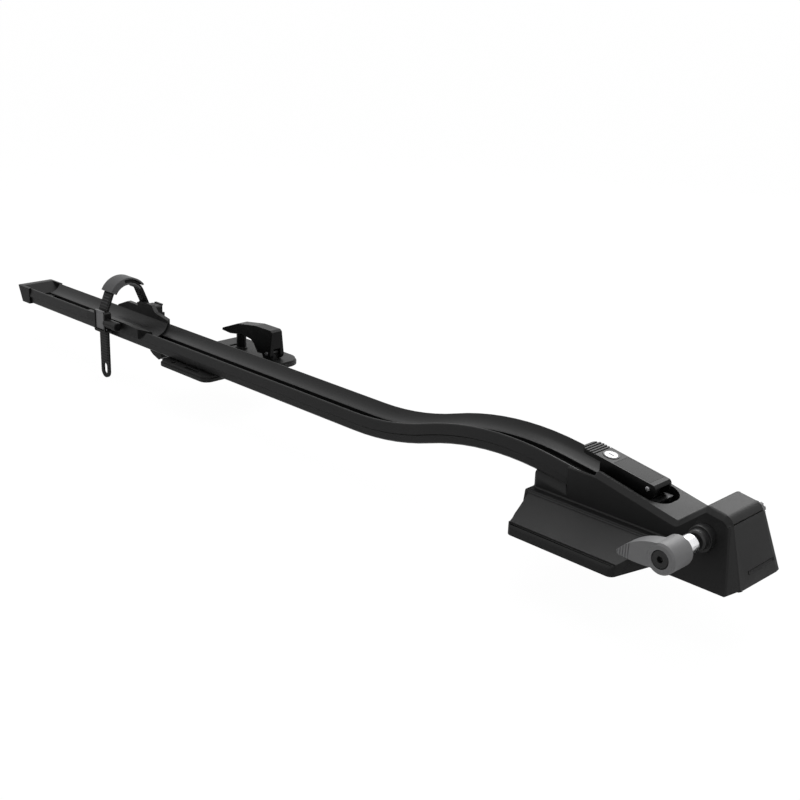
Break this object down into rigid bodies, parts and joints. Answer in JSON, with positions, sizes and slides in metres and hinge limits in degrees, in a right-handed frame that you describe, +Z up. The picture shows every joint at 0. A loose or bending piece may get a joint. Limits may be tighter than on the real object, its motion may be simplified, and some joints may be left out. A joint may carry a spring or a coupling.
{
  "type": "roof mounted bike carrier",
  "caption": "Fork-mount roof bike carrier: cranked wheel tray, clamp head with a fork skewer, sliding rear foot and strapped wheel cradle.",
  "frame": {"origin": "centre of the front crossbar seat, on top of the bar", "axes": "+X towards the nose where the fork clamps, +Z up, -Y the side of the skewer's lever"},
  "size_m": [1.3097, 0.2246, 0.1481],
  "materials": {
    "black_aluminium": "satin black anodised",
    "black_plastic": "fine grained black moulding",
    "textured_plastic": "fine spark-eroded texture, black",
    "lever_plastic": "smooth satin black moulding",
    "gloss_black": "polished black, bare",
    "grey_plastic": "mid grey moulding",
    "grey_rubber": "dark grey soft rubber",
    "strap_plastic": "flexible black urethane",
    "rubber": "matt black",
    "steel": "zinc plated",
    "bright_steel": "bright plated",
    "dark_steel": "black coated steel",
    "lock_white": "bright lock face"
  },
  "bodies": {
    "carrier": {"wheel_tray": "black_aluminium", "tray_end_cap": "black_plastic", "head_shell": "textured_plastic", "head_base": "black_plastic", "base_screws": "steel", "front_pad_near": "rubber", "front_pad_far": "rubber", "tray_bolts": "steel", "tray_nuts": "steel", "cam_seat": "steel", "axle_tube": "dark_steel", "fork_boss_near": "dark_steel", "fork_boss_far": "dark_steel", "tray_stop": "black_plastic"},
    "front_hook": {"draw_hook": "dark_steel", "clamp_lever_pin": "bright_steel"},
    "front_lever": {"clamp_lever": "lever_plastic", "lever_name_plate": "gloss_black", "lock_housing": "dark_steel"},
    "lock": {"lock_core": "lock_white"},
    "skewer": {"skewer_rod": "steel", "skewer_bolt": "dark_steel", "skewer_collar": "bright_steel"},
    "skewer_handle": {"skewer_lever": "grey_plastic"},
    "fork_nut": {"skewer_nut": "grey_plastic"},
    "rear_foot": {"rear_base_plate": "textured_plastic", "rear_pad": "rubber", "rear_t_bolts": "steel", "rear_nuts": "steel", "rear_post": "black_plastic"},
    "rear_draw": {"rear_hook": "dark_steel", "rear_lever_pin": "steel"},
    "rear_clamp_lever": {"rear_lever": "lever_plastic"},
    "cradle": {"wheel_cradle": "textured_plastic", "near_buckle": "black_plastic", "near_buckle_pin": "steel", "far_buckle": "black_plastic", "far_buckle_pin": "steel", "wheel_strap": "strap_plastic", "strap_pad": "grey_rubber"},
    "near_release": {"near_buckle_lever": "grey_plastic"},
    "far_release": {"far_buckle_lever": "black_plastic"}
  },
  "joints": [
    {"name": "front_hook_drop", "type": "slide", "parent": "carrier", "child": "front_hook", "axis": [0, 0, 1], "range_m": [-0.0028, 0]},
    {"name": "front_lever_swing", "type": "hinge", "parent": "front_hook", "child": "front_lever", "pos_m": [0.0435, 0, 0.063], "axis": [0, 1, 0], "range_deg": [0, 90]},
    {"name": "lock_turn", "type": "hinge", "parent": "front_lever", "child": "lock", "pos_m": [-0.012, 0, 0.07796], "axis": [0.1611, 0, 0.9869], "range_deg": [0, 90]},
    {"name": "skewer_slide", "type": "slide", "parent": "carrier", "child": "skewer", "axis": [0, 1, 0], "range_m": [-0.0067, 0.0067]},
    {"name": "skewer_lever_turn", "type": "hinge", "parent": "skewer", "child": "skewer_handle", "pos_m": [0.1215, -0.09, 0.0456], "axis": [0, 1, 0], "continuous": true},
    {"name": "fork_nut_turn", "type": "hinge", "parent": "skewer", "child": "fork_nut", "pos_m": [0.1215, 0.066, 0.0456], "axis": [0, 1, 0], "continuous": true},
    {"name": "rear_foot_slide", "type": "slide", "parent": "carrier", "child": "rear_foot", "axis": [1, 0, 0], "range_m": [-0.02, 0.24]},
    {"name": "rear_hook_drop", "type": "slide", "parent": "rear_foot", "child": "rear_draw", "axis": [0, 0, 1], "range_m": [-0.0028, 0]},
    {"name": "rear_lever_swing", "type": "hinge", "parent": "rear_draw", "child": "rear_clamp_lever", "pos_m": [-0.643, 0.082, 0.01926], "axis": [0, 1, 0], "range_deg": [0, 90]},
    {"name": "cradle_slide", "type": "slide", "parent": "carrier", "child": "cradle", "axis": [1, 0, 0], "range_m": [-0.16, 0.06]},
    {"name": "near_release_tilt", "type": "hinge", "parent": "cradle", "child": "near_release", "pos_m": [-0.889, -0.0399, 0.0205], "axis": [1, 0, 0], "range_deg": [0, 60]},
    {"name": "far_release_tilt", "type": "hinge", "parent": "cradle", "child": "far_release", "pos_m": [-0.8643, 0.0428, 0.033], "axis": [-1, 0, 0], "range_deg": [0, 60]}
  ],
  "couplings": [
    {"joint": "front_hook_drop", "follows": "front_lever_swing", "m_per_rad": -0.0017189},
    {"joint": "rear_hook_drop", "follows": "rear_lever_swing", "m_per_rad": -0.0017189}
  ]
}
